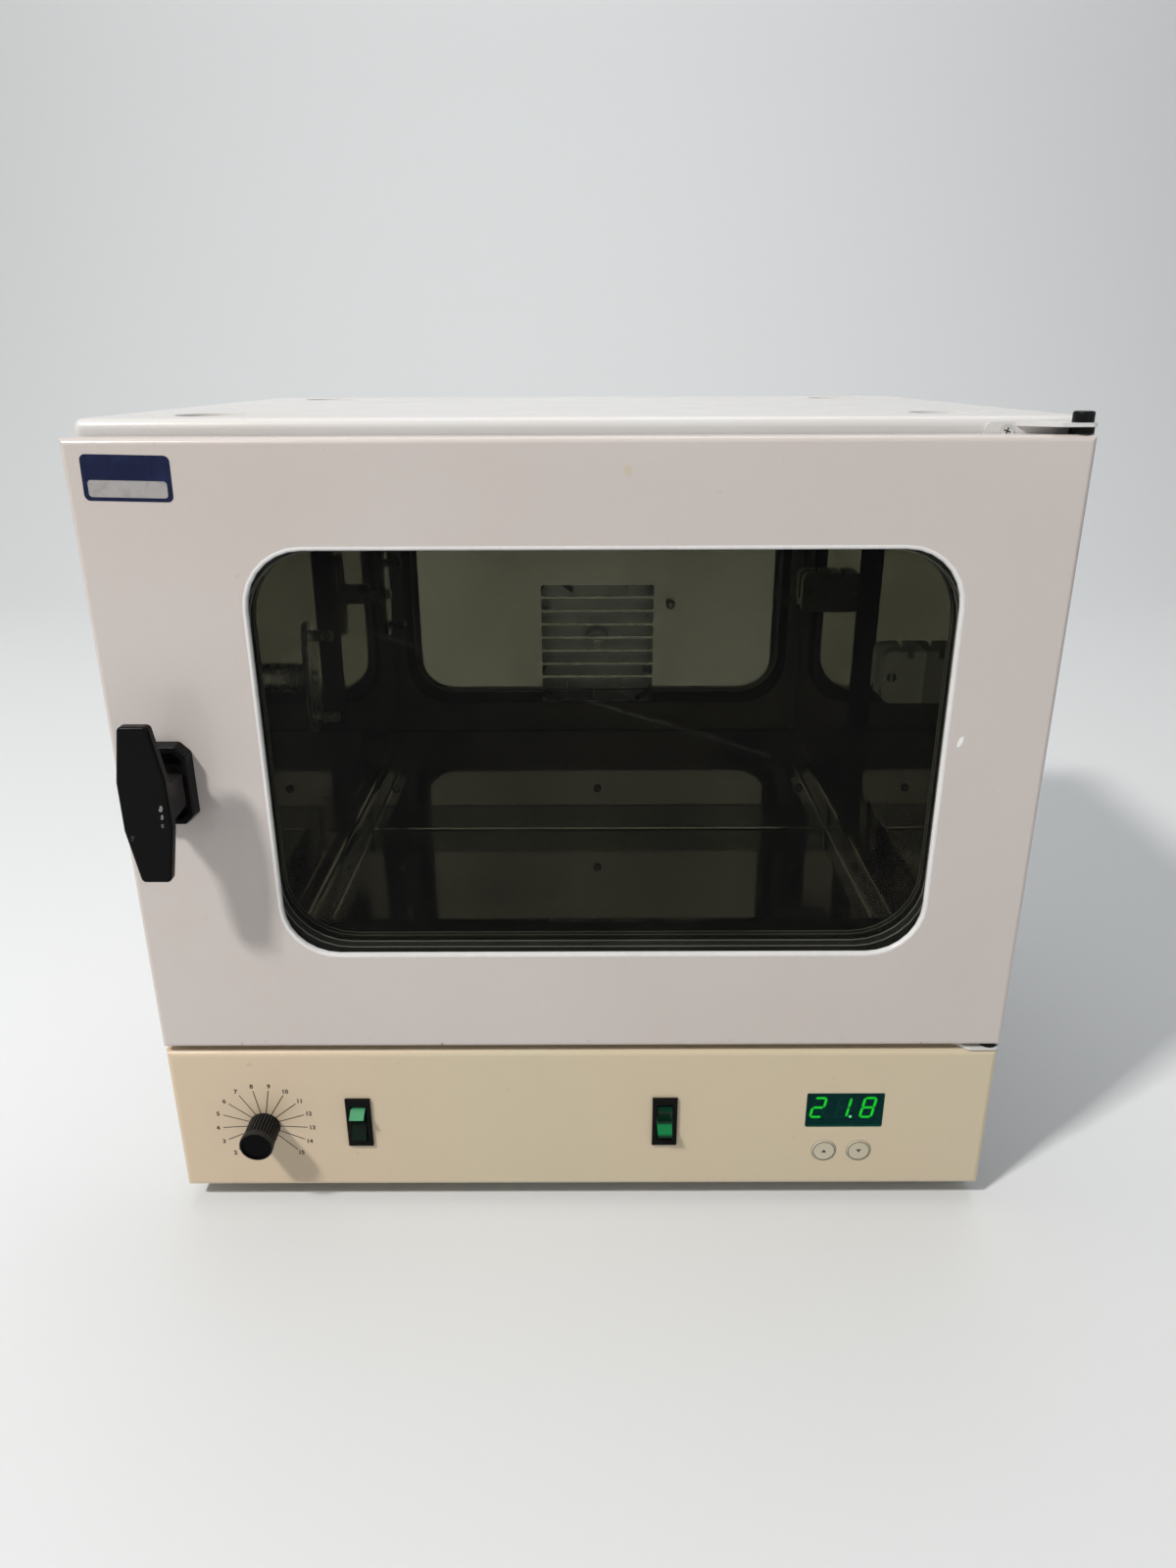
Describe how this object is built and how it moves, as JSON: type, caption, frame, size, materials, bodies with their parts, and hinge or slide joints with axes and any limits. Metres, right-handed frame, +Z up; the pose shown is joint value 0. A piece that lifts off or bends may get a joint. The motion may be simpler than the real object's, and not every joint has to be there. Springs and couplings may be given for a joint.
{
  "type": "hybridization oven",
  "caption": "Bench hybridization oven: painted cabinet, polished chamber behind a glazed hinged door with turning latch, rotor drive, fan and ring heater, control panel.",
  "frame": {"origin": "on the bench, at the middle of the whole object's footprint", "axes": "+X to the right seen from the front, +Y towards the back, +Z up"},
  "size_m": [0.41, 0.35, 0.3889],
  "materials": {
    "white_paint": "semi-gloss powder coat",
    "cream_paint": "satin",
    "zinc_sheet": "dull zinc plate",
    "polished_steel": "polished stainless sheet",
    "turned_steel": "turned",
    "cast_aluminium": "bare",
    "black_plastic": "satin to gloss",
    "dark_plastic": "matt",
    "white_plastic": "waxy, slightly translucent",
    "cream_plastic": "satin",
    "dark_window": "clear dark green filter",
    "green_lens": "translucent green plastic",
    "black_rubber": "matt",
    "grey_rubber": "matt silicone",
    "clear_glass": "clear toughened",
    "mineral_wool": "fibrous",
    "circuit_board": "lacquered",
    "black_enamel": "satin black",
    "bronze": "turned"
  },
  "bodies": {
    "cabinet": {"outer_case": "white_paint", "base_plate": "zinc_sheet", "rear_panel": "white_paint", "control_panel": "cream_paint", "chamber_liner": "polished_steel", "rear_baffle": "polished_steel", "floor_tray": "polished_steel", "insulation_jacket": "mineral_wool", "insulation_back": "mineral_wool", "fan_motor": "zinc_sheet", "heater_element": "turned_steel", "temperature_probe": "turned_steel", "gearmotor": "zinc_sheet", "shaft_bush": "turned_steel", "bearing_block": "white_plastic", "bearing_catch": "turned_steel", "bearing_screws": "turned_steel", "baffle_screws": "turned_steel", "case_screws": "turned_steel", "door_seal": "grey_rubber", "hinge_bracket_upper": "white_paint", "hinge_bracket_lower": "white_paint", "hinge_pins": "turned_steel", "hinge_washers": "dark_plastic", "hinge_cap": "black_plastic", "hinge_screws": "turned_steel", "display_window": "dark_window", "display_module": "dark_plastic", "control_board": "circuit_board", "switch_bodies": "dark_plastic", "speed_potentiometer": "zinc_sheet", "transformer": "black_enamel", "mains_inlet": "dark_plastic", "feet": "black_rubber"},
    "door": {"door_shell": "white_paint", "door_inner_panel": "white_paint", "door_screws": "turned_steel", "hinge_bushes": "bronze", "outer_glass": "clear_glass", "window_gasket": "black_rubber", "inner_glass_frame": "black_rubber", "inner_glass": "clear_glass", "latch_escutcheon": "black_plastic"},
    "latch": {"latch_handle": "black_plastic", "latch_cam": "zinc_sheet", "latch_nut": "turned_steel"},
    "rotor": {"drive_shaft": "turned_steel", "drive_hub": "turned_steel", "drive_arm": "turned_steel", "drive_pins": "turned_steel", "arm_screw": "turned_steel"},
    "fan": {"fan_shaft": "turned_steel", "fan_impeller": "cast_aluminium"},
    "speed_control": {"speed_knob": "black_plastic", "pot_shaft": "turned_steel"},
    "power_switch": {"power_rocker": "green_lens"},
    "rotate_switch": {"rotate_rocker": "green_lens"},
    "button_up": {"up_button": "cream_plastic"},
    "button_down": {"down_button": "cream_plastic"}
  },
  "joints": [
    {"name": "door_hinge", "type": "hinge", "parent": "cabinet", "child": "door", "pos_m": [0.2, -0.1394, 0], "axis": [0, 0, 1], "range_deg": [0, 170]},
    {"name": "latch_turn", "type": "hinge", "parent": "door", "child": "latch", "pos_m": [-0.1812, -0.145, 0.23535], "axis": [0, 1, 0], "range_deg": [0, 90]},
    {"name": "rotor_spin", "type": "hinge", "parent": "cabinet", "child": "rotor", "pos_m": [-0.146, -0.03, 0.251], "axis": [1, 0, 0], "continuous": true},
    {"name": "fan_spin", "type": "hinge", "parent": "cabinet", "child": "fan", "pos_m": [0.0095, 0.1, 0.2385], "axis": [0, 1, 0], "continuous": true},
    {"name": "knob_turn", "type": "hinge", "parent": "cabinet", "child": "speed_control", "pos_m": [-0.1605, -0.145, 0.0484], "axis": [0, 1, 0], "range_deg": [-135, 135]},
    {"name": "power_rocker_tilt", "type": "hinge", "parent": "cabinet", "child": "power_switch", "pos_m": [0.0416, -0.1404, 0.0505], "axis": [1, 0, 0], "range_deg": [0, 20]},
    {"name": "rotate_rocker_tilt", "type": "hinge", "parent": "cabinet", "child": "rotate_switch", "pos_m": [-0.1125, -0.1404, 0.0505], "axis": [1, 0, 0], "range_deg": [-20, 0]},
    {"name": "up_button_press", "type": "slide", "parent": "cabinet", "child": "button_up", "axis": [0, 1, 0], "range_m": [0, 0.0005], "stiffness_N_per_m": 600, "springref_m": -0.0005},
    {"name": "down_button_press", "type": "slide", "parent": "cabinet", "child": "button_down", "axis": [0, 1, 0], "range_m": [0, 0.0005], "stiffness_N_per_m": 600, "springref_m": -0.0005}
  ]
}
